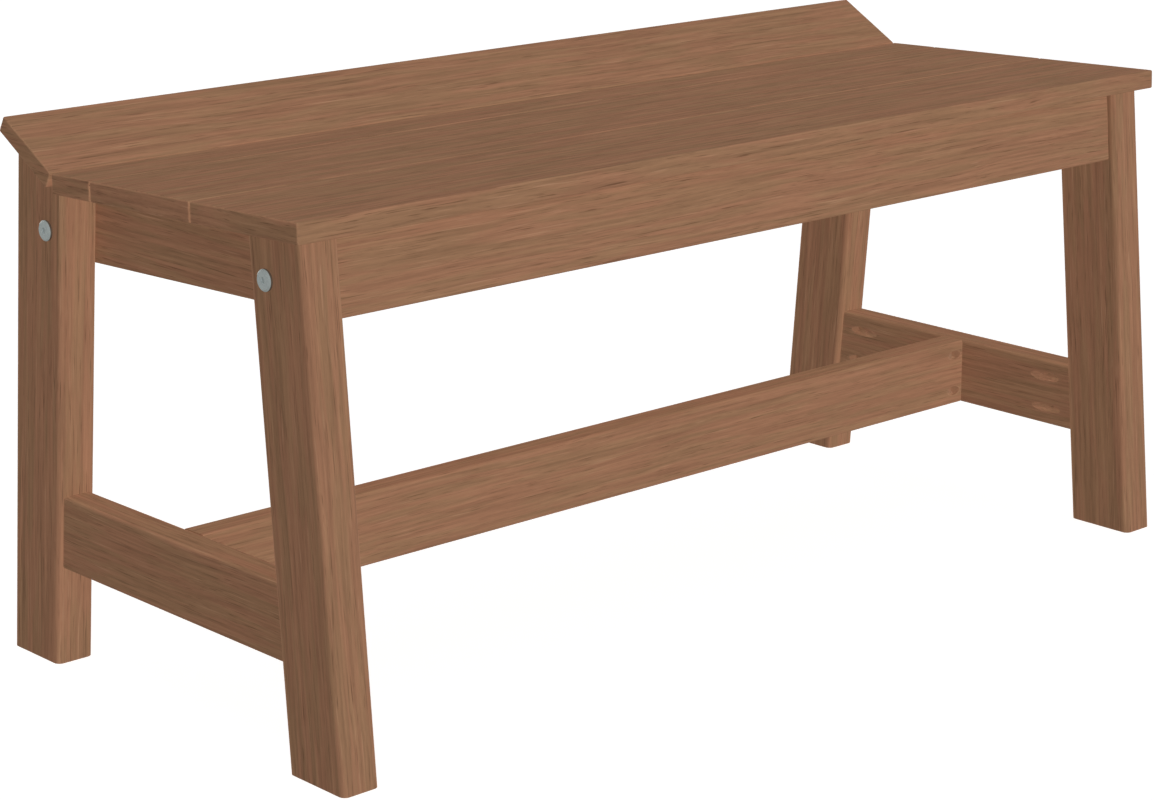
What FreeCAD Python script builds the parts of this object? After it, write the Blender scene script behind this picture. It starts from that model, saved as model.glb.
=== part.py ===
import FreeCAD, Part
import math
import os
import re
import Sketcher
from FreeCAD import Placement, Rotation, Vector

# Dining bench of plain boards. X runs along the bench, the front faces -Y, Z is up and the floor is at zero.
# The origin lies on the floor midway between the four feet. Lengths are millimetres, angles are degrees.
DRIVING = {
    # Seat boards: the height is that of the front top edge
    "seat_length": 1042.0,
    "seat_height": 457.2,
    "seat_front": 209.5,
    "seat_tilt": 2.0,
    "seat_thickness": 17.6,
    "wide_board": 139.7,
    "narrow_board": 55.8,
    "board_gap": 1.0,
    # Radii of the rounded edges: seat boards and back lip, legs, all other pieces
    "board_round": 1.5,
    "leg_round": 6.0,
    "edge_round": 3.0,
    # Back lip: the gap is behind the rear seat board, the slope is measured from level
    "lip_gap": 1.5,
    "lip_width": 79.5,
    "lip_thickness": 15.6,
    "lip_slope": 29.4,
    # Legs: the spread is the whole depth across the feet, the span the whole length across the outer faces
    "foot_spread": 476.0,
    "leg_span": 1020.0,
    "leg_splay": 5.0,
    "leg_depth": 70.8,
    "leg_width": 36.4,
    # Rails, aprons and stretchers share one stock thickness
    "stock_thickness": 27.5,
    "rail_height": 67.8,
    "apron_inset": 8.5,
    "apron_bottom": 372.0,
    "stretcher_bottom": 89.3,
    "stretcher_height": 66.0,
    # Flat batten under the middle of the seat
    "batten_width": 70.0,
    "batten_thickness": 18.0,
    "batten_start": 52.0,
    "batten_length": 283.0,
    # Frame bolts: distances ahead of and behind the origin, and below the seat's underside
    "bolt_front": 153.4,
    "bolt_rear": 155.5,
    "bolt_drop": 35.8,
    "bolt_diameter": 8.0,
    "bolt_hole": 8.5,
    "bolt_tail": 2.0,
    "bolt_head_diameter": 18.0,
    "bolt_rim_height": 1.8,
    "bolt_dome_height": 1.2,
    "bolt_dome_diameter": 15.0,
    "bolt_socket_radius": 2.9,
    "bolt_socket_depth": 1.5,
    "washer_diameter": 20.0,
    "washer_thickness": 1.6,
    "nut_radius": 7.5,
    "nut_height": 6.5,
    # Screws: the pocket is the round-ended slot that sinks a screw head
    "screw_diameter": 4.2,
    "screw_head_diameter": 9.0,
    "screw_head_height": 2.5,
    "screw_point": 5.0,
    "frame_screw_length": 40.0,
    "seat_screw_length": 25.0,
    "toe_screw_length": 30.0,
    "batten_screw_length": 30.0,
    "pocket_diameter": 9.5,
    "pocket_reach": 60.0,
    "pocket_angle": 15.0,
    "pocket_run": 31.5,
    "pocket_shoulder": 12.0,
    "apron_run": 48.0,
    "toe_angle": 30.0,
    "toe_run": 13.0,
    "toe_shoulder": 2.8,
    "end_screw_rise": 16.0,
    "long_screw_rise": 19.0,
    "apron_screw_low": 18.0,
    "apron_screw_high": 50.0,
    "board_screw_margin": 25.0,
    "front_board_margin": 20.0,
    "front_board_pitch": 40.0,
    "lip_screw_pitch": 330.0,
}

FRONT, REAR = -1, 1
LEFT, RIGHT = -1, 1
SIDES = {LEFT: "left", RIGHT: "right"}
ENDS = {FRONT: "front", REAR: "rear"}

doc = FreeCAD.newDocument("DiningBench")
sheet = doc.addObject("Spreadsheet::Sheet", "Size")
for row, (alias, amount) in enumerate(DRIVING.items(), start=1):
    sheet.set(f"A{row}", alias.replace("_", " "))
    sheet.set(f"B{row}", str(amount))
    sheet.setAlias(f"B{row}", alias)
doc.recompute()


# Expressions
def cells(text):
    """Rewrite the names in an expression as cells of the sheet."""
    return re.sub(r"[a-z]+_[a-z_]+", lambda found: "Size." + found.group(), text)


def number(text):
    """The present value of an expression."""
    return float(sheet.evalExpression(cells(text)))


# Lines of the side view
def leaning(inset, end):
    """A face parallel to the splayed legs, inset from their outer face: where it stands and how it leans."""
    foot = f"({end} * (foot_spread / 2 - ({inset}) / cos(leg_splay)))"
    return foot, f"({-end} * tan(leg_splay))"


def along_seat(rise):
    """A line parallel to the seat's top face: its level above the origin and its slope."""
    return f"(seat_height - seat_front * tan(seat_tilt) + ({rise}) / cos(seat_tilt))", "(-tan(seat_tilt))"


def square_bottom(face, end):
    """The bottom edge of an apron, square to its outer face."""
    foot, lean = face
    slope = f"({end} * tan(leg_splay))"
    return f"(apron_bottom - {slope} * ({foot} + {lean} * apron_bottom))", slope


def level(height):
    """A level line."""
    return f"({height})", "0"


def crossing(face, line):
    """The corner where a leaning face meets a line."""
    (foot, lean), (height, slope) = face, line
    z = f"(({height} + {slope} * {foot}) / (1 - {slope} * {lean}))"
    return f"({foot} + {lean} * {z})", z


def between(faces, lines):
    """The four corners enclosed by two leaning faces and two lines."""
    (first, second), (bottom, top) = faces, lines
    return [crossing(first, bottom), crossing(second, bottom), crossing(second, top), crossing(first, top)]


def on_seat(back, rise):
    """A point measured back from the seat's front edge and up from its top face."""
    y = f"(-seat_front + ({back}) * cos(seat_tilt) + ({rise}) * sin(seat_tilt))"
    z = f"(seat_height - ({back}) * sin(seat_tilt) + ({rise}) * cos(seat_tilt))"
    return y, z


def on_lip(up, rise):
    """A point measured up the back lip from its lower edge and out from its face."""
    y, z = on_seat(LIP_START, "0")
    return (
        f"({y} + ({up}) * cos(lip_slope) - ({rise}) * sin(lip_slope))",
        f"({z} + ({up}) * sin(lip_slope) + ({rise}) * cos(lip_slope))",
    )


def rectangle(place, first, second, low, high):
    """Four corners in the measure of the seat or of the lip."""
    return [place(first, low), place(second, low), place(second, high), place(first, high)]


MIDDLE_START = "(wide_board + board_gap)"
REAR_START = "(2 * wide_board + 2 * board_gap)"
LIP_START = "(2 * wide_board + 2 * board_gap + narrow_board + lip_gap)"
SEAT_UNDERSIDE = along_seat("-seat_thickness")
RAIL_BOTTOM = along_seat("-seat_thickness - rail_height")
LIP_FOOT_Y, LIP_FOOT_Z = on_lip("0", "-lip_thickness")
LIP_UNDERSIDE = (f"({LIP_FOOT_Z} - {LIP_FOOT_Y} * tan(lip_slope))", "tan(lip_slope)")
STRETCHER_LINES = [level("stretcher_bottom"), level("stretcher_bottom + stretcher_height")]
LEG_OUTER = {end: leaning("0", end) for end in ENDS}
LEG_INNER = {end: leaning("leg_depth", end) for end in ENDS}
APRON_OUTER = {end: leaning("apron_inset", end) for end in ENDS}
APRON_INNER = {end: leaning("apron_inset + stock_thickness", end) for end in ENDS}
TOP_OF = {FRONT: SEAT_UNDERSIDE, REAR: LIP_UNDERSIDE}
LEG_CENTRE = "(leg_span / 2 - leg_width / 2)"
LEG_INSIDE = "(leg_span / 2 - leg_width)"
RAIL_CENTRE = "(leg_span / 2 - leg_width - stock_thickness / 2)"
RAIL_INSIDE = "(leg_span / 2 - leg_width - stock_thickness)"
STRETCHER_INSIDE = "(leg_span / 2 - leg_width / 2 - stock_thickness / 2)"


# Fasteners, each drawn standing on the origin with its head below and its point up
def cylinder(name, diameter, height, start="0"):
    """A round bar along Z."""
    bar = doc.addObject("Part::Cylinder", name)
    bar.setExpression("Radius", cells(f"({diameter}) / 2"))
    bar.setExpression("Height", cells(height))
    bar.setExpression("Placement.Base.z", cells(start))
    return bar


def cone(name, low_diameter, high_diameter, height, start):
    """A tapering bar along Z."""
    bar = doc.addObject("Part::Cone", name)
    bar.setExpression("Radius1", cells(f"({low_diameter}) / 2"))
    bar.setExpression("Radius2", cells(f"({high_diameter}) / 2"))
    bar.setExpression("Height", cells(height))
    bar.setExpression("Placement.Base.z", cells(start))
    return bar


def hexagon(name, radius, height, start="0"):
    """A six-sided bar along Z."""
    bar = doc.addObject("Part::Prism", name)
    bar.Polygon = 6
    bar.setExpression("Circumradius", cells(radius))
    bar.setExpression("Height", cells(height))
    bar.setExpression("Placement.Base.z", cells(start))
    return bar


def fused(name, pieces):
    """Pieces joined into one solid."""
    whole = doc.addObject("Part::MultiFuse", name)
    whole.Shapes = pieces
    return whole


def less(name, base, tool):
    """One solid with another taken away."""
    rest = doc.addObject("Part::Cut", name)
    rest.Base, rest.Tool = base, tool
    return rest


def screw(name, length):
    """A washer-headed screw with a plain shank and a point."""
    shank = f"({length} - screw_point)"
    return fused(name, [
        cylinder(name + "_head", "screw_head_diameter", "screw_head_height", "-screw_head_height"),
        cylinder(name + "_shank", "screw_diameter", shank),
        cone(name + "_tip", "screw_diameter", "0", "screw_point", shank),
    ])


def pocket(name, length):
    """The hollow that a sunk screw needs: the pocket for its head and the hole for its shank."""
    return fused(name, [
        cylinder(name + "_sink", "pocket_diameter", "pocket_reach", "-pocket_reach"),
        cylinder(name + "_pilot", "screw_diameter", length),
    ])


def scatter(name, pattern, axes):
    """Separate copies of a pattern solid, each standing at a point and turned to a direction."""
    group = doc.addObject("Part::Feature", name)
    group.Label = name
    copies = []
    for point, direction in axes:
        solid = pattern.Shape.copy()
        solid.Placement = Placement(point, Rotation(Vector(0, 0, 1), direction)).multiply(solid.Placement)
        copies.append(solid)
    group.Shape = Part.makeCompound(copies)
    return group


def sunk(corner, along, inward, angle, run, shoulder, joint=None):
    """Where a sunk screw bears and points. It enters the face a run short of the joint and slants inward."""
    joint = joint or along
    slant = math.radians(number(angle))
    direction = along * math.cos(slant) + inward * math.sin(slant)
    entry = corner - along * number(run)
    reach = (corner - entry).dot(joint) / direction.dot(joint)
    return entry + direction * (reach - number(shoulder)), direction


def side_point(x, yz):
    """A point of the side view at a given place along the bench."""
    y, z = yz
    return Vector(number(x) if isinstance(x, str) else x, number(y), number(z))


splay = math.radians(number("leg_splay"))
tilt = math.radians(number("seat_tilt"))
slope = math.radians(number("lip_slope"))
ALONG_X = Vector(1, 0, 0)
ALONG_Y = Vector(0, 1, 0)
SEAT_NORMAL = Vector(0, math.sin(tilt), math.cos(tilt))
SEAT_BACK = Vector(0, math.cos(tilt), -math.sin(tilt))
LIP_NORMAL = Vector(0, -math.sin(slope), math.cos(slope))
APRON_UP = {end: Vector(0, -end * math.sin(splay), math.cos(splay)) for end in ENDS}
APRON_OUT = {end: Vector(0, end * math.cos(splay), math.sin(splay)) for end in ENDS}

# Where each seat board is screwed, measured back from the seat's front edge
SCREW_ROWS = {
    "front": ["wide_board - front_board_margin - front_board_pitch", "wide_board - front_board_margin"],
    "middle": [f"{MIDDLE_START} + board_screw_margin", f"{MIDDLE_START} + wide_board - board_screw_margin"],
    "rear": [f"{REAR_START} + narrow_board / 2"],
}
rows = [row for board_rows in SCREW_ROWS.values() for row in board_rows]

bolt_axes = []
washer_axes = []
nut_axes = []
end_axes = []
apron_axes = []
seat_axes = []
long_axes = []
for side in SIDES:
    toward_middle = ALONG_X * -side
    # Frame bolts pass inward through the leg and the rail
    for end, place in ((FRONT, "-bolt_front"), (REAR, "bolt_rear")):
        under, fall = SEAT_UNDERSIDE
        height = f"{under} + {fall} * ({place}) - bolt_drop / cos(seat_tilt)"
        rail_face = f"{side} * {RAIL_INSIDE}"
        bolt_axes.append((side_point(f"{side} * leg_span / 2", (place, height)), toward_middle))
        washer_axes.append((side_point(rail_face, (place, height)), toward_middle))
        nut_seat = f"{rail_face} - {side} * washer_thickness"
        nut_axes.append((side_point(nut_seat, (place, height)), toward_middle))
        # End stretchers are screwed into the legs from their inner faces
        for rise in ("-end_screw_rise", "end_screw_rise"):
            row = level(f"stretcher_bottom + stretcher_height / 2 + {rise}")
            corner = side_point(f"{side} * {STRETCHER_INSIDE}", crossing(LEG_INNER[end], row))
            end_axes.append(
                sunk(corner, ALONG_Y * end, ALONG_X * side, "pocket_angle", "pocket_run", "pocket_shoulder")
            )
        # Aprons are screwed into the legs from their inner faces
        for rise in ("apron_screw_low", "apron_screw_high"):
            row = level(f"apron_bottom + {rise}")
            corner = side_point(f"{side} * {LEG_INSIDE}", crossing(APRON_INNER[end], row))
            apron_axes.append(
                sunk(corner, ALONG_X * side, APRON_OUT[end], "pocket_angle", "apron_run", "pocket_shoulder")
            )
    # Seat boards are screwed down from the inner faces of the rails
    for row in rows:
        corner = side_point(f"{side} * {RAIL_INSIDE}", on_seat(row, "-seat_thickness"))
        seat_axes.append(
            sunk(corner, SEAT_NORMAL, ALONG_X * side, "pocket_angle", "pocket_run", "pocket_shoulder")
        )
    # The long stretcher is screwed at a steeper angle from its front face
    for rise in ("-long_screw_rise", "long_screw_rise"):
        height = f"stretcher_bottom + stretcher_height / 2 + {rise}"
        corner = side_point(f"{side} * {STRETCHER_INSIDE}", ("-stock_thickness / 2", height))
        long_axes.append(sunk(corner, ALONG_X * side, ALONG_Y, "toe_angle", "toe_run", "toe_shoulder"))

# The back lip is screwed from the inner face of the rear apron, the batten straight up into each seat board
lip_axes = []
for step in (-1, 0, 1):
    corner = side_point(f"{step} * lip_screw_pitch", crossing(APRON_INNER[REAR], LIP_UNDERSIDE))
    up, out = APRON_UP[REAR], APRON_OUT[REAR]
    lip_axes.append(sunk(corner, up, out, "pocket_angle", "pocket_run", "pocket_shoulder", LIP_NORMAL))
BATTEN_RISE = "-seat_thickness - batten_thickness"
batten_axes = [(side_point(0.0, on_seat(row, BATTEN_RISE)), SEAT_NORMAL) for row in rows]

# Pattern solids
BOLT_REACH = "(leg_width + stock_thickness + washer_thickness + nut_height + bolt_tail)"
bolt_body = fused("bolt_body", [
    cone("bolt_dome", "bolt_dome_diameter", "bolt_head_diameter", "bolt_dome_height",
         "-bolt_rim_height - bolt_dome_height"),
    cylinder("bolt_rim", "bolt_head_diameter", "bolt_rim_height", "-bolt_rim_height"),
    cylinder("bolt_shank", "bolt_diameter", BOLT_REACH),
])
bolt_socket = hexagon(
    "bolt_socket", "bolt_socket_radius", "bolt_socket_depth", "-bolt_rim_height - bolt_dome_height",
)
bolt = less("bolt", bolt_body, bolt_socket)
bolt_bore = cylinder("bolt_bore", "bolt_hole", BOLT_REACH)
washer = less(
    "washer", cylinder("washer_disc", "washer_diameter", "washer_thickness"),
    cylinder("washer_bore", "bolt_hole", "washer_thickness"),
)
nut = less(
    "nut", hexagon("nut_hexagon", "nut_radius", "nut_height"),
    cylinder("nut_bore", "bolt_diameter", "nut_height"),
)
frame_screw = screw("frame_screw", "frame_screw_length")
seat_screw = screw("seat_screw", "seat_screw_length")
toe_screw = screw("toe_screw", "toe_screw_length")
batten_screw = screw("batten_screw", "batten_screw_length")
frame_pocket = pocket("frame_pocket", "frame_screw_length")
seat_pocket = pocket("seat_pocket", "seat_screw_length")
toe_pocket = pocket("toe_pocket", "toe_screw_length")
batten_pilot = cylinder("batten_pilot", "screw_diameter", "batten_screw_length")
doc.recompute()

hardware = [
    scatter("frame_bolts", bolt, bolt_axes),
    scatter("bolt_washers", washer, washer_axes),
    scatter("bolt_nuts", nut, nut_axes),
    scatter("end_stretcher_screws", frame_screw, end_axes),
    scatter("apron_screws", frame_screw, apron_axes),
    scatter("long_stretcher_screws", toe_screw, long_axes),
    scatter("seat_screws", seat_screw, seat_axes),
    scatter("back_lip_screws", seat_screw, lip_axes),
    scatter("batten_screws", batten_screw, batten_axes),
]
bolt_bores = scatter("bolt_bores", bolt_bore, bolt_axes)
end_bores = scatter("end_bores", frame_pocket, end_axes)
apron_bores = scatter("apron_bores", frame_pocket, apron_axes)
long_bores = scatter("long_bores", toe_pocket, long_axes)
seat_bores = scatter("seat_bores", seat_pocket, seat_axes)
lip_bores = scatter("lip_bores", seat_pocket, lip_axes)
batten_bores = scatter("batten_bores", batten_pilot, batten_axes)


# Boards
PARALLEL = 0.9999


def outline(body, corners):
    """A closed sketch in the side view with every corner bound to the sheet."""
    sketch = body.newObject("Sketcher::SketchObject", body.Name + "_outline")
    plane = next(item for item in body.Origin.OriginFeatures if item.Role == "YZ_Plane")
    sketch.AttachmentSupport = [(plane, "")]
    sketch.MapMode = "FlatFace"
    points = [Vector(number(y), number(z), 0) for y, z in corners]
    count = len(points)
    for index in range(count):
        sketch.addGeometry(Part.LineSegment(points[index], points[(index + 1) % count]))
    for index in range(count):
        sketch.addConstraint(Sketcher.Constraint("Coincident", index, 2, (index + 1) % count, 1))
    for index, corner in enumerate(corners):
        for kind, text in zip(("DistanceX", "DistanceY"), corner):
            held = sketch.addConstraint(Sketcher.Constraint(kind, -1, 1, index, 1, number(text)))
            sketch.setExpression(f"Constraints[{held}]", cells(text))
    return sketch


def board(name, corners, width, centre, bores, grain=None, rounded=4, radius="edge_round"):
    """A board of one outline and width, with its holes bored. Its lowest edges along the grain are rounded.

    With no grain given, the ends are rounded too.
    """
    body = doc.addObject("PartDesign::Body", name + "_blank")
    body.setExpression("Placement.Base.x", cells(centre))
    pad = body.newObject("PartDesign::Pad", name + "_pad")
    pad.Profile = outline(body, corners)
    pad.SideType = "Symmetric"
    pad.setExpression("Length", cells(width))
    doc.recompute()
    edges = {f"Edge{place}": edge for place, edge in enumerate(pad.Shape.Edges, start=1)}
    labels = sorted(edges, key=lambda label: edges[label].CenterOfMass.z)
    if grain is not None:
        heading = {label: edge.tangentAt(edge.FirstParameter) for label, edge in edges.items()}
        labels = [label for label in labels if abs(heading[label].dot(grain)) > PARALLEL][:rounded]
    fillet = body.newObject("PartDesign::Fillet", name + "_round")
    fillet.Base = (pad, labels)
    fillet.setExpression("Radius", cells(radius))
    doc.recompute()
    tool = doc.addObject("Part::Compound", name + "_bores")
    tool.Links = bores
    bored = doc.addObject("Part::Cut", name)
    bored.Label = name
    bored.Base, bored.Tool = body, tool
    return bored


boards = []
for name, start, span in (
    ("front", "0", "wide_board"),
    ("middle", MIDDLE_START, "wide_board"),
    ("rear", REAR_START, "narrow_board"),
):
    corners = rectangle(on_seat, start, f"{start} + {span}", "-seat_thickness", "0")
    boards.append(board(
        f"seat_board_{name}", corners, "seat_length", "0", [seat_bores, batten_bores], radius="board_round",
    ))
boards.append(board(
    "back_lip_board", rectangle(on_lip, "0", "lip_width", "-lip_thickness", "0"),
    "seat_length", "0", [lip_bores], radius="board_round",
))
boards.append(board(
    "seat_batten",
    rectangle(on_seat, "batten_start", "batten_start + batten_length", BATTEN_RISE, "-seat_thickness"),
    "batten_width", "0", [batten_bores], SEAT_BACK,
))
for end, end_name in ENDS.items():
    for side, side_name in SIDES.items():
        corners = between((LEG_OUTER[end], LEG_INNER[end]), (level("0"), TOP_OF[end]))
        boards.append(board(
            f"{side_name}_{end_name}_leg", corners, "leg_width", f"{side} * {LEG_CENTRE}",
            [bolt_bores, end_bores, apron_bores], APRON_UP[end], radius="leg_round",
        ))
    bottom = square_bottom(APRON_OUTER[end], end)
    corners = between((APRON_OUTER[end], APRON_INNER[end]), (bottom, TOP_OF[end]))
    boards.append(board(
        f"{end_name}_apron", corners, f"2 * {LEG_INSIDE}", "0", [apron_bores, lip_bores], ALONG_X, rounded=2,
    ))
for side, side_name in SIDES.items():
    corners = between((APRON_INNER[FRONT], APRON_INNER[REAR]), (RAIL_BOTTOM, SEAT_UNDERSIDE))
    boards.append(board(
        f"{side_name}_seat_rail", corners, "stock_thickness", f"{side} * {RAIL_CENTRE}",
        [bolt_bores, seat_bores], SEAT_BACK,
    ))
    corners = between((LEG_INNER[FRONT], LEG_INNER[REAR]), STRETCHER_LINES)
    boards.append(board(
        f"{side_name}_end_stretcher", corners, "stock_thickness", f"{side} * {LEG_CENTRE}",
        [end_bores, long_bores], ALONG_Y,
    ))
half = "stock_thickness / 2"
corners = [
    (f"-{half}", "stretcher_bottom"), (half, "stretcher_bottom"),
    (half, "stretcher_bottom + stretcher_height"), (f"-{half}", "stretcher_bottom + stretcher_height"),
]
boards.append(board(
    "long_stretcher", corners, f"2 * {STRETCHER_INSIDE}", "0", [long_bores], ALONG_X,
))
doc.recompute()

# Every object must be sound before any file is written
for item in doc.Objects:
    if "Invalid" in item.State or "Error" in item.State:
        raise RuntimeError(f"{item.Name} did not build: {item.State}")
os.makedirs("parts", exist_ok=True)
for item in boards + hardware:
    if item.Shape.isNull() or not item.Shape.isValid():
        raise RuntimeError(f"{item.Label} has no sound shape")
    item.Shape.exportStep(f"parts/{item.Label}.step")
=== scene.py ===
import math

import bpy
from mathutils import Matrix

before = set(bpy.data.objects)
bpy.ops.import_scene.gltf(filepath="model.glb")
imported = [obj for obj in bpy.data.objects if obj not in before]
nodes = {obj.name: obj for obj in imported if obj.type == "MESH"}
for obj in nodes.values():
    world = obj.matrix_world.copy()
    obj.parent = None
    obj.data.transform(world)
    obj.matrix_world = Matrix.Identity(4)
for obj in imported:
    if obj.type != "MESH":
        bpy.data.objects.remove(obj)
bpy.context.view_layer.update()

scene = bpy.context.scene

# Camera at the photograph's viewing angle: place in metres, turn in degrees, lens and sensor in millimetres
CAMERA_AT = (-1.86791, -2.00948, 0.94239)
CAMERA_TURN = (76.6066, -0.0654, -42.9083)
CAMERA_LENS = 95.1331
CAMERA_SENSOR = 36.0
CAMERA_SHIFT = (-0.034, -0.10)

# Light: a weak even surround and narrow lamps without shadows, because the photograph's light is flat.
# One weak wide lamp overhead throws a faint shadow. An amount is the share of full light on a surface that
# faces the lamp, and a width is in degrees.
SURROUND = 0.08
LAMPS = {
    "front_lamp": {"toward": (0.0, -1.0, 0.0), "amount": 0.71, "width": 12.0, "shadow": False},
    "low_front_lamp": {"toward": (0.0, -0.70, -0.71), "amount": 0.15, "width": 12.0, "shadow": False},
    "top_lamp": {"toward": (0.0, 0.0, 1.0), "amount": 0.565, "width": 12.0, "shadow": False},
    "left_lamp": {"toward": (-0.98, 0.20, 0.0), "amount": 0.40, "width": 12.0, "shadow": False},
    "right_lamp": {"toward": (0.98, 0.20, 0.0), "amount": 0.40, "width": 12.0, "shadow": False},
    "rear_lamp": {"toward": (0.0, 1.0, 0.0), "amount": 0.34, "width": 12.0, "shadow": False},
    "shadow_lamp": {"toward": (0.0, 0.0, 1.0), "amount": 0.05, "width": 60.0, "shadow": True},
}

# Floor: a pale surface, in metres, that the camera sees as white where no shadow falls
FLOOR_SIZE = 24.0
FLOOR_COLOUR = 0.30
FLOOR_SEEN_COLOUR = 0.90
FLOOR_GLOW = 0.39


def srgb(red, green, blue):
    """A display colour, 0 to 255, as linear light."""
    parts = [value / 255 for value in (red, green, blue)]
    return [part / 12.92 if part <= 0.04045 else ((part + 0.055) / 1.055) ** 2.4 for part in parts] + [1.0]


class Graph:
    """Adds nodes to one node tree and joins them."""

    def __init__(self, tree):
        self.tree = tree
        self.tree.nodes.clear()

    def join(self, value, socket_highlight):
        if isinstance(value, bpy.types.NodeSocket):
            self.tree.links.new(value, socket_highlight)
        else:
            socket_highlight.default_value = value

    def node(self, kind, inputs, **settings):
        made = self.tree.nodes.new(kind)
        for name, value in settings.items():
            setattr(made, name, value)
        for key, value in inputs.items():
            self.join(value, made.inputs[key])
        return made

    def math(self, operation, first, second=0.0):
        return self.node("ShaderNodeMath", {0: first, 1: second}, operation=operation).outputs[0]

    def vector(self, operation, first, second):
        made = self.node("ShaderNodeVectorMath", {0: first, 1: second}, operation=operation)
        return made.outputs["Value" if operation in ("DOT_PRODUCT", "DISTANCE") else "Vector"]

    def noise(self, vector, seed, detail=2.0, distort=0.0):
        inputs = {"Vector": vector, "W": seed, "Scale": 1.0, "Detail": detail, "Distortion": distort}
        return self.node("ShaderNodeTexNoise", inputs, noise_dimensions="4D").outputs["Fac"]

    def remap(self, value, low, high, to_low=0.0, to_high=1.0, kind="SMOOTHSTEP"):
        inputs = {"Value": value, "From Min": low, "From Max": high, "To Min": to_low, "To Max": to_high}
        return self.node("ShaderNodeMapRange", inputs, interpolation_type=kind).outputs["Result"]

    def blend(self, factor, first, second, mode="MIX"):
        mixer = self.node("ShaderNodeMixRGB", {0: factor, 1: first, 2: second}, blend_type=mode)
        return mixer.outputs[0]

    def mapped(self, vector, size, turn=0.0):
        """The same place counted in features of a given size, after a turn about X."""
        inputs = {"Vector": vector, "Rotation": (turn, 0.0, 0.0), "Scale": size}
        return self.node("ShaderNodeMapping", inputs, vector_type="TEXTURE").outputs["Vector"]


def material_with(name, draw):
    """A node material whose surface is drawn by a function."""
    material = bpy.data.materials.new(name)
    material.use_nodes = True
    graph = Graph(material.node_tree)
    surface = draw(graph)
    graph.node("ShaderNodeOutputMaterial", {"Surface": surface.outputs[0]})
    return material


# Wood colours
RED_WOOD = srgb(150, 109, 84)
OLIVE_WOOD = srgb(145, 109.7, 83)
DARK_STREAK = srgb(98, 70, 52)
LIGHT_STREAK = srgb(176, 136, 107)
# Paler colour of rubbed edges, which is also a painted highlight
WORN_EDGE_AND_HIGHLIGHT = srgb(172, 132, 104)

# Grain of the wood: a streak's length and width in metres, and the seed, detail and distortion of its noise
AXES = "xyz"
SEED_SPREAD = 91.0
GRAIN = {
    "patches": {"length": 0.11, "width": 0.008, "step": 5.0, "detail": 3.0, "distort": 0.4},
    "bands": {"length": 0.12, "width": 0.0025, "step": 11.0, "detail": 3.0, "distort": 0.2},
    "dark": {"length": 0.038, "width": 0.0007, "step": 23.0, "detail": 2.0, "distort": 0.2},
    "light": {"length": 0.060, "width": 0.0010, "step": 37.0, "detail": 2.0, "distort": 0.2},
    "fibre": {"length": 0.010, "width": 0.0005, "step": 53.0, "detail": 1.0, "distort": 0.2},
}
# A slow sway of the streaks, in metres
SWAY_LENGTH = 0.22
SWAY_WIDTH = 0.05
SWAY_AMOUNT = 0.010
# A board's end: how squarely it faces along the bench, and its streaks' share of the full length
END_FACING = 0.7
END_STREAK = 0.6

# Ranges of noise, or of a normal's upward share, over which each effect sets in, and how strong it gets
HUE_RANGE = (0.40, 0.60)
TOP_RANGE = (0.6, 0.9)
SHADE_RANGE = (0.25, 0.75)
BAND_SHADE = 0.22
FIBRE_SHADE = 0.06
DARK_RANGE = (0.57, 0.73)
DARK_STRENGTH = 0.75
LIGHT_RANGE = (0.58, 0.76)
LIGHT_STRENGTH = 0.55
# Rubbed edges with a painted highlight: the reach in metres, how far the eased normal turns, and how pale
# they get in the patches
EDGE_REACH = 0.003
EDGE_TURN = (0.02, 0.20)
EDGE_PATCHES = (0.35, 0.65)
EDGE_WEAR_AND_HIGHLIGHT = (0.05, 0.30)
# Painted shade in pockets: the reach in metres of what shades them, their openness, and the share of colour
# left inside
POCKET_REACH = 0.02
POCKET_OPEN = (0.5, 0.95)
POCKET_LIGHT = 0.86
# Surface of the oiled wood
WOOD_ROUGH_RANGE = (0.2, 0.8)
WOOD_ROUGH = (0.82, 0.96)
WOOD_SPECULAR = 0.02
WOOD_FIBRE_HEIGHT = 0.3
WOOD_BUMP = {"Strength": 0.2, "Distance": 0.0003}


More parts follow.
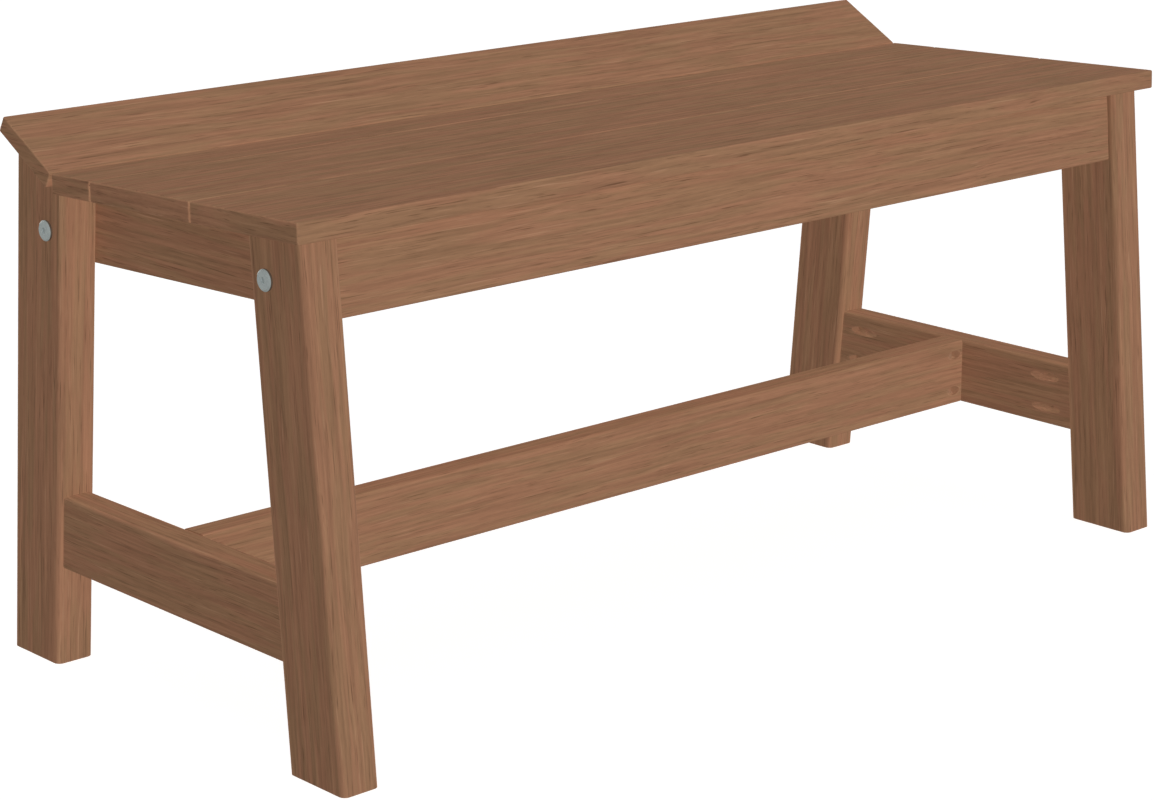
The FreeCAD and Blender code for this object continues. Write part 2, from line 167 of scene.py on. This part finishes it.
def wood(along, lean=0.0, coarse=1.0, top_contrast=1.0, top_painted_light=1.0, painted_pocket_shade=False):
    """Oiled boards with the grain along one axis, leaning by an angle about X.

    The streaks can be made coarser, and stronger on the top face, whose colour can carry painted light.
    Bored pieces get painted shade inside their pockets.
    """

    def draw(graph):
        place = graph.node("ShaderNodeTexCoord", {}).outputs["Object"]
        chance = graph.node("ShaderNodeObjectInfo", {}).outputs["Random"]
        seed = graph.math("MULTIPLY", chance, SEED_SPREAD)
        normal = graph.node("ShaderNodeNewGeometry", {}).outputs["Normal"]
        facing = graph.vector("DOT_PRODUCT", normal, (1.0, 0.0, 0.0))
        upward = graph.vector("DOT_PRODUCT", normal, (0.0, 0.0, 1.0))

        def grain(length, width, source):
            width = width * coarse
            size = [width] * 3
            size[AXES.index(along)] = length
            lengthwise = graph.mapped(source, size, lean)
            if along != "x":
                return lengthwise
            # On a board's end the streaks run across the bench
            crosswise = graph.mapped(source, (width, length * END_STREAK, width))
            end_face = graph.math("GREATER_THAN", graph.math("ABSOLUTE", facing), END_FACING)
            inputs = {0: end_face, 4: lengthwise, 5: crosswise}
            return graph.node("ShaderNodeMix", inputs, data_type="VECTOR").outputs[1]

        def layer(length, width, step, detail, distort):
            return graph.noise(grain(length, width, swayed), graph.math("ADD", seed, step), detail, distort)

        # The grain wanders a little from side to side
        drift = graph.math("SUBTRACT", graph.noise(grain(SWAY_LENGTH, SWAY_WIDTH, place), seed), 0.5)
        drift = graph.math("MULTIPLY", drift, SWAY_AMOUNT)
        across = {"X": drift, "Y": drift, "Z": drift}
        across[along.upper()] = 0.0
        swayed = graph.vector("ADD", place, graph.node("ShaderNodeCombineXYZ", across).outputs[0])
        patches, bands, dark, light, fibre = [layer(**shape) for shape in GRAIN.values()]

        # Two hues in patches, shaded by bands and fibres
        colour = graph.blend(graph.remap(patches, *HUE_RANGE), RED_WOOD, OLIVE_WOOD)
        boost = graph.remap(upward, *TOP_RANGE, 1.0, top_contrast)
        # Painted light: upward faces are made lighter or darker by the top factor, to stand in for how the
        # light falls
        top_light_share = graph.remap(upward, *TOP_RANGE, 1.0, top_painted_light)
        shade = graph.remap(bands, *SHADE_RANGE, -BAND_SHADE, BAND_SHADE, "LINEAR")
        speckle = graph.remap(fibre, *SHADE_RANGE, -FIBRE_SHADE, FIBRE_SHADE, "LINEAR")
        swing = graph.math("MULTIPLY", graph.math("ADD", shade, speckle), boost)
        shading = graph.math("MULTIPLY", graph.math("ADD", swing, 1.0), top_light_share)
        colour = graph.blend(1.0, colour, shading, "MULTIPLY")
        # Fine dark and light streaks
        dark_mask = graph.remap(dark, *DARK_RANGE, 0.0, DARK_STRENGTH)
        light_mask = graph.remap(light, *LIGHT_RANGE, 0.0, LIGHT_STRENGTH)
        colour = graph.blend(dark_mask, colour, DARK_STREAK)
        colour = graph.blend(graph.math("MULTIPLY", light_mask, boost), colour, LIGHT_STREAK)
        # Edges are rubbed a little paler, which also paints a highlight along the rounded edges
        eased = graph.node("ShaderNodeBevel", {"Radius": EDGE_REACH}, samples=4).outputs[0]
        turned = graph.math("SUBTRACT", 1.0, graph.vector("DOT_PRODUCT", eased, normal))
        wear_and_highlight_amount = graph.remap(patches, *EDGE_PATCHES, *EDGE_WEAR_AND_HIGHLIGHT)
        edge_wear_and_highlight = graph.math("MULTIPLY", graph.remap(turned, *EDGE_TURN), wear_and_highlight_amount)
        colour = graph.blend(edge_wear_and_highlight, colour, WORN_EDGE_AND_HIGHLIGHT)
        # Painted shade: inside the pockets the colour is darkened where ambient occlusion finds them closed
        # in
        if painted_pocket_shade:
            occlusion = graph.node(
                "ShaderNodeAmbientOcclusion", {"Distance": POCKET_REACH}, samples=8, only_local=True
            )
            pocket_shade_left = graph.remap(occlusion.outputs["AO"], *POCKET_OPEN, POCKET_LIGHT, 1.0)
            colour = graph.blend(1.0, colour, pocket_shade_left, "MULTIPLY")

        raised = graph.math("ADD", bands, graph.math("MULTIPLY", fibre, WOOD_FIBRE_HEIGHT))
        height = graph.math("SUBTRACT", raised, dark_mask)
        bump = graph.node("ShaderNodeBump", {**WOOD_BUMP, "Height": height})
        inputs = {
            "Base Color": colour,
            "Roughness": graph.remap(bands, *WOOD_ROUGH_RANGE, *WOOD_ROUGH, "LINEAR"),
            "Specular IOR Level": WOOD_SPECULAR,
            "Normal": bump.outputs[0],
        }
        return graph.node("ShaderNodeBsdfPrincipled", inputs)

    return draw


# Metal colours
STEEL_DULL = srgb(126, 132, 131)
STEEL_BRIGHT = srgb(136, 142, 140)
# Painted shade on the sides of heads, nuts and washers
STEEL_RIM_SHADE = srgb(90, 76, 64)
# Painted highlight in the sockets of the bolt heads
STEEL_SOCKET_HIGHLIGHT = srgb(138, 145, 145)
BROWN_DULL = srgb(134, 99, 76)
BROWN_BRIGHT = srgb(144, 107, 82)

# Surface of the metals: the size of a cloud in metres, its noise, and the roughness that follows it
CLOUD_SIZE = (0.004, 0.004, 0.004)
CLOUD_SEED = 3.0
CLOUD_DETAIL = 3.0
CLOUD_RANGE = (0.3, 0.7)
METAL_ROUGH = (0.64, 0.78)
METAL_BUMP = {"Strength": 0.1, "Distance": 0.0001}
# How squarely a face must look along the bench to escape the painted shade of the rims
RIM_RANGE = (0.1, 0.6)
# A radius just outside the sockets of the bolt heads, in metres, within which the painted highlight goes
SOCKET_REACH = 0.004


def bolt_axis(end):
    """Y and Z of the bolts through the legs at the front, -1, or at the rear, 1."""
    places = [vertex.co for vertex in nodes["frame_bolts"].data.vertices if vertex.co.y * end > 0]
    spans = [[place[axis] for place in places] for axis in (1, 2)]
    return [(min(span) + max(span)) / 2 for span in spans]


BOLT_AXES = [bolt_axis(end) for end in (-1, 1)]


def metal(dull, bright, rim_shade, socket_highlight, metallic, specular):
    """Metal with a fine cloudy finish. Rims get painted shade and the bolts' sockets a painted highlight."""

    def draw(graph):
        place = graph.node("ShaderNodeTexCoord", {}).outputs["Object"]
        normal = graph.node("ShaderNodeNewGeometry", {}).outputs["Normal"]
        facing = graph.math("ABSOLUTE", graph.vector("DOT_PRODUCT", normal, (1.0, 0.0, 0.0)))
        cloud = graph.noise(graph.mapped(place, CLOUD_SIZE), CLOUD_SEED, CLOUD_DETAIL)
        face = graph.blend(graph.remap(cloud, *CLOUD_RANGE), dull, bright)
        flat = graph.vector("MULTIPLY", place, (0.0, 1.0, 1.0))
        reach = [graph.vector("DISTANCE", flat, (0.0, *axis)) for axis in BOLT_AXES]
        inside = graph.math("LESS_THAN", graph.math("MINIMUM", *reach), SOCKET_REACH)
        rim_shade_and_socket_highlight = graph.blend(inside, rim_shade, socket_highlight)
        bump = graph.node("ShaderNodeBump", {**METAL_BUMP, "Height": cloud})
        inputs = {
            # Painted shade on rims and a painted highlight in the sockets, where a face does not look along
            # X
            "Base Color": graph.blend(graph.remap(facing, *RIM_RANGE), rim_shade_and_socket_highlight, face),
            "Roughness": graph.remap(cloud, *CLOUD_RANGE, *METAL_ROUGH, "LINEAR"),
            "Metallic": metallic,
            "Specular IOR Level": specular,
            "Normal": bump.outputs[0],
        }
        return graph.node("ShaderNodeBsdfPrincipled", inputs)

    return draw


def dress(material, names):
    """Give one material to the named pieces."""
    for name in names:
        slots = nodes[name].data.materials
        slots.clear()
        slots.append(material)


# Which pieces have which material
LEG_SPLAY = math.radians(5.0)
SEAT = ["seat_board_front", "seat_board_middle", "seat_board_rear"]
LENGTHWISE = ["front_apron", "rear_apron", "long_stretcher"]
CROSSWISE = ["left_seat_rail", "right_seat_rail", "left_end_stretcher", "right_end_stretcher", "seat_batten"]
PLATED = ["frame_bolts", "bolt_washers", "bolt_nuts"]
COATED = [name for name in nodes if name.endswith("_screws")]
FRONT_LEGS = ["left_front_leg", "right_front_leg"]
REAR_LEGS = ["left_rear_leg", "right_rear_leg"]
dress(material_with("seat_wood", wood("x", coarse=1.5, top_contrast=1.1)), SEAT)
dress(material_with("lip_wood", wood("x", coarse=1.3, top_painted_light=0.97)), ["back_lip_board"])
dress(material_with("lengthwise_wood", wood("x", top_painted_light=1.15, painted_pocket_shade=True)), LENGTHWISE)
dress(material_with("crosswise_wood", wood("y", top_painted_light=1.10, painted_pocket_shade=True)), CROSSWISE)
dress(material_with("front_leg_wood", wood("z", -LEG_SPLAY, coarse=1.25)), FRONT_LEGS)
dress(material_with("rear_leg_wood", wood("z", LEG_SPLAY, coarse=1.25)), REAR_LEGS)
STEEL = metal(STEEL_DULL, STEEL_BRIGHT, STEEL_RIM_SHADE, STEEL_SOCKET_HIGHLIGHT, metallic=0.9, specular=0.5)
BROWN = metal(BROWN_DULL, BROWN_BRIGHT, BROWN_DULL, BROWN_DULL, metallic=0.0, specular=0.02)
dress(material_with("zinc_steel", STEEL), PLATED)
dress(material_with("brown_coating", BROWN), COATED)


def white_to_the_eye(graph):
    """One on rays from the camera and on reflected or refracted ones, otherwise zero."""
    ray = graph.node("ShaderNodeLightPath", {}).outputs
    seen = graph.math("MAXIMUM", ray["Is Camera Ray"], ray["Is Glossy Ray"])
    return graph.math("MAXIMUM", seen, ray["Is Transmission Ray"])


def grey(amount):
    """A neutral colour."""
    return (amount, amount, amount, 1.0)


def pale_floor(graph):
    """White to the eye where no shadow falls, and a plain pale surface to everything else."""
    plain = graph.node("ShaderNodeBsdfDiffuse", {"Color": grey(FLOOR_COLOUR)}).outputs[0]
    shaded = graph.node("ShaderNodeBsdfDiffuse", {"Color": grey(FLOOR_SEEN_COLOUR)}).outputs[0]
    glow = graph.node("ShaderNodeEmission", {"Color": grey(1.0), "Strength": FLOOR_GLOW}).outputs[0]
    lifted = graph.node("ShaderNodeAddShader", {0: shaded, 1: glow}).outputs[0]
    return graph.node("ShaderNodeMixShader", {0: white_to_the_eye(graph), 1: plain, 2: lifted})


# Floor
bpy.ops.mesh.primitive_plane_add(size=FLOOR_SIZE)
floor = bpy.context.object
floor.name = "floor"
floor.data.materials.append(material_with("pale_floor", pale_floor))

# Surround
world = bpy.data.worlds.new("studio")
world.use_nodes = True
scene.world = world
graph = Graph(world.node_tree)
strength = graph.remap(white_to_the_eye(graph), 0.0, 1.0, SURROUND, 1.0, "LINEAR")
backdrop = graph.node("ShaderNodeBackground", {"Color": grey(1.0), "Strength": strength})
graph.node("ShaderNodeOutputWorld", {"Surface": backdrop.outputs[0]})

# Lamps
for name, lamp in LAMPS.items():
    data = bpy.data.lights.new(name, "SUN")
    data.energy = math.pi * lamp["amount"]
    data.angle = math.radians(lamp["width"])
    data.use_shadow = lamp["shadow"]
    x, y, z = lamp["toward"]
    holder = bpy.data.objects.new(name, data)
    holder.rotation_euler = (math.atan2(math.hypot(x, y), z), 0.0, math.atan2(x, -y))
    scene.collection.objects.link(holder)

# Camera
camera_data = bpy.data.cameras.new("camera")
camera_data.sensor_width = CAMERA_SENSOR
camera_data.lens = CAMERA_LENS
camera_data.shift_x, camera_data.shift_y = CAMERA_SHIFT
camera = bpy.data.objects.new("camera", camera_data)
camera.location = CAMERA_AT
camera.rotation_euler = [math.radians(angle) for angle in CAMERA_TURN]
scene.collection.objects.link(camera)
scene.camera = camera
scene.view_settings.view_transform = "Standard"
